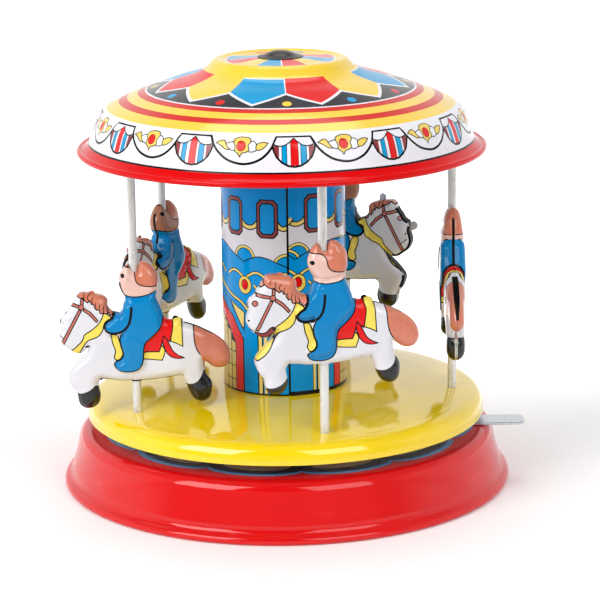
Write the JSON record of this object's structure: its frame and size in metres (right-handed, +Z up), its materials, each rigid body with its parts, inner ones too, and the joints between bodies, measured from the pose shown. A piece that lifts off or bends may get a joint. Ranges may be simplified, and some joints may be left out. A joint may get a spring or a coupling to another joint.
{
  "type": "wind-up musical carousel",
  "caption": "Wind-up printed tin carousel with a musical movement in its base: domed turntable, canopy roof, riders that slide and turn on poles, stop lever, winding key below",
  "frame": {"origin": "on the table, on the spindle line, at the middle of the foot ring", "axes": "+Z up along the spindle; +X towards the stop lever; the picture is seen from -Y"},
  "size_m": [0.1734, 0.168, 0.1613],
  "materials": {
    "red_tin": "gloss red lacquer on drawn tin, printed deck",
    "yellow_tin": "gloss yellow lacquer on drawn tin",
    "column_print": "gloss printed tin, blue with yellow, red and white ornament",
    "roof_print": "gloss printed tin, red, yellow, blue and white ornament",
    "figure_print": "gloss printed tin, white horse with a rider in blue",
    "dark_cap": "dark lacquered steel",
    "tin_pole": "bright rolled tinplate",
    "bare_tin": "bare tinplate",
    "bare_steel": "bright steel",
    "movement_steel": "plated steel plate",
    "spring_steel": "tempered spring steel",
    "brass_wheels": "cut brass"
  },
  "bodies": {
    "base": {"base_shell": "red_tin", "bottom_plate": "bare_tin", "base_pillars": "bare_steel", "bottom_screws": "bare_steel", "movement_bedplate": "movement_steel", "movement_top_plate": "movement_steel", "movement_pillars": "movement_steel", "movement_screws": "bare_steel", "pillar_screws": "bare_steel", "clutch_spring": "spring_steel", "tone_comb": "spring_steel", "comb_bracket": "movement_steel", "comb_screws": "bare_steel", "deck_bush": "brass_wheels", "lever_rivet": "bare_steel"},
    "turntable": {"platform": "yellow_tin", "column": "column_print", "ceiling_plate": "bare_tin", "roof_canopy": "roof_print", "roof_cap": "dark_cap", "spindle": "bare_steel", "platform_hub": "bare_steel", "spring_barrel": "brass_wheels", "barrel_cover": "brass_wheels", "mainspring": "spring_steel"},
    "drum": {"pin_drum": "brass_wheels", "drum_arbor": "bare_steel", "drum_pinion": "bare_steel", "drum_wheel": "brass_wheels"},
    "idler": {"idler_arbor": "bare_steel", "idler_pinion": "bare_steel", "idler_wheel": "brass_wheels"},
    "governor": {"governor_arbor": "bare_steel", "governor_pinion": "bare_steel", "governor_fan": "brass_wheels", "brake_disc": "bare_steel"},
    "winder": {"winding_key": "bare_steel", "winding_arbor": "bare_steel"},
    "lever": {"stop_lever": "bare_steel"},
    "pole_1": {"pole_1": "tin_pole"},
    "horse_1": {"horse_1_left_shell": "figure_print", "horse_1_right_shell": "figure_print"},
    "pole_2": {"pole_2": "tin_pole"},
    "horse_2": {"horse_2_left_shell": "figure_print", "horse_2_right_shell": "figure_print"},
    "pole_3": {"pole_3": "tin_pole"},
    "horse_3": {"horse_3_left_shell": "figure_print", "horse_3_right_shell": "figure_print"},
    "pole_4": {"pole_4": "tin_pole"},
    "horse_4": {"horse_4_left_shell": "figure_print", "horse_4_right_shell": "figure_print"},
    "pole_5": {"pole_5": "tin_pole"},
    "horse_5": {"horse_5_left_shell": "figure_print", "horse_5_right_shell": "figure_print"}
  },
  "joints": [
    {"name": "turntable_spin", "type": "hinge", "parent": "base", "child": "turntable", "pos_m": [0, 0, 0.03], "axis": [0, 0, 1], "continuous": true},
    {"name": "drum_spin", "type": "hinge", "parent": "base", "child": "drum", "pos_m": [0.02112, -0.0079, 0.013], "axis": [0, 0, 1], "continuous": true},
    {"name": "idler_spin", "type": "hinge", "parent": "base", "child": "idler", "pos_m": [0.03317, -0.0079, 0.013], "axis": [0, 0, 1], "continuous": true},
    {"name": "governor_spin", "type": "hinge", "parent": "base", "child": "governor", "pos_m": [0.04522, -0.0079, 0.013], "axis": [0, 0, 1], "continuous": true},
    {"name": "key_wind", "type": "hinge", "parent": "base", "child": "winder", "pos_m": [0, 0, 0.006], "axis": [0, 0, 1], "continuous": true},
    {"name": "stop_lever_swing", "type": "hinge", "parent": "base", "child": "lever", "pos_m": [0.062, -0.008, 0.0216], "axis": [0, 0, 1], "range_deg": [0, 10]},
    {"name": "pole_1_turn", "type": "hinge", "parent": "turntable", "child": "pole_1", "pos_m": [-0.05402, -0.03182, 0.08], "axis": [0, 0, 1], "continuous": true},
    {"name": "horse_1_slide", "type": "slide", "parent": "pole_1", "child": "horse_1", "axis": [0, 0, 1], "range_m": [-0.0002, 0.0374]},
    {"name": "pole_2_turn", "type": "hinge", "parent": "turntable", "child": "pole_2", "pos_m": [0.01357, -0.06121, 0.08], "axis": [0, 0, 1], "continuous": true},
    {"name": "horse_2_slide", "type": "slide", "parent": "pole_2", "child": "horse_2", "axis": [0, 0, 1], "range_m": [-0.0134, 0.0242]},
    {"name": "pole_3_turn", "type": "hinge", "parent": "turntable", "child": "pole_3", "pos_m": [0.06241, -0.00601, 0.08], "axis": [0, 0, 1], "continuous": true},
    {"name": "horse_3_slide", "type": "slide", "parent": "pole_3", "child": "horse_3", "axis": [0, 0, 1], "range_m": [-0.0135, 0.0241]},
    {"name": "pole_4_turn", "type": "hinge", "parent": "turntable", "child": "pole_4", "pos_m": [0.025, 0.0575, 0.08], "axis": [0, 0, 1], "continuous": true},
    {"name": "horse_4_slide", "type": "slide", "parent": "pole_4", "child": "horse_4", "axis": [0, 0, 1], "range_m": [-0.0154, 0.0222]},
    {"name": "pole_5_turn", "type": "hinge", "parent": "turntable", "child": "pole_5", "pos_m": [-0.04696, 0.04155, 0.08], "axis": [0, 0, 1], "continuous": true},
    {"name": "horse_5_slide", "type": "slide", "parent": "pole_5", "child": "horse_5", "axis": [0, 0, 1], "range_m": [-0.0071, 0.0305]}
  ],
  "couplings": [
    {"joint": "drum_spin", "follows": "turntable_spin", "ratio": -4},
    {"joint": "idler_spin", "follows": "turntable_spin", "ratio": 16},
    {"joint": "governor_spin", "follows": "turntable_spin", "ratio": -64}
  ]
}
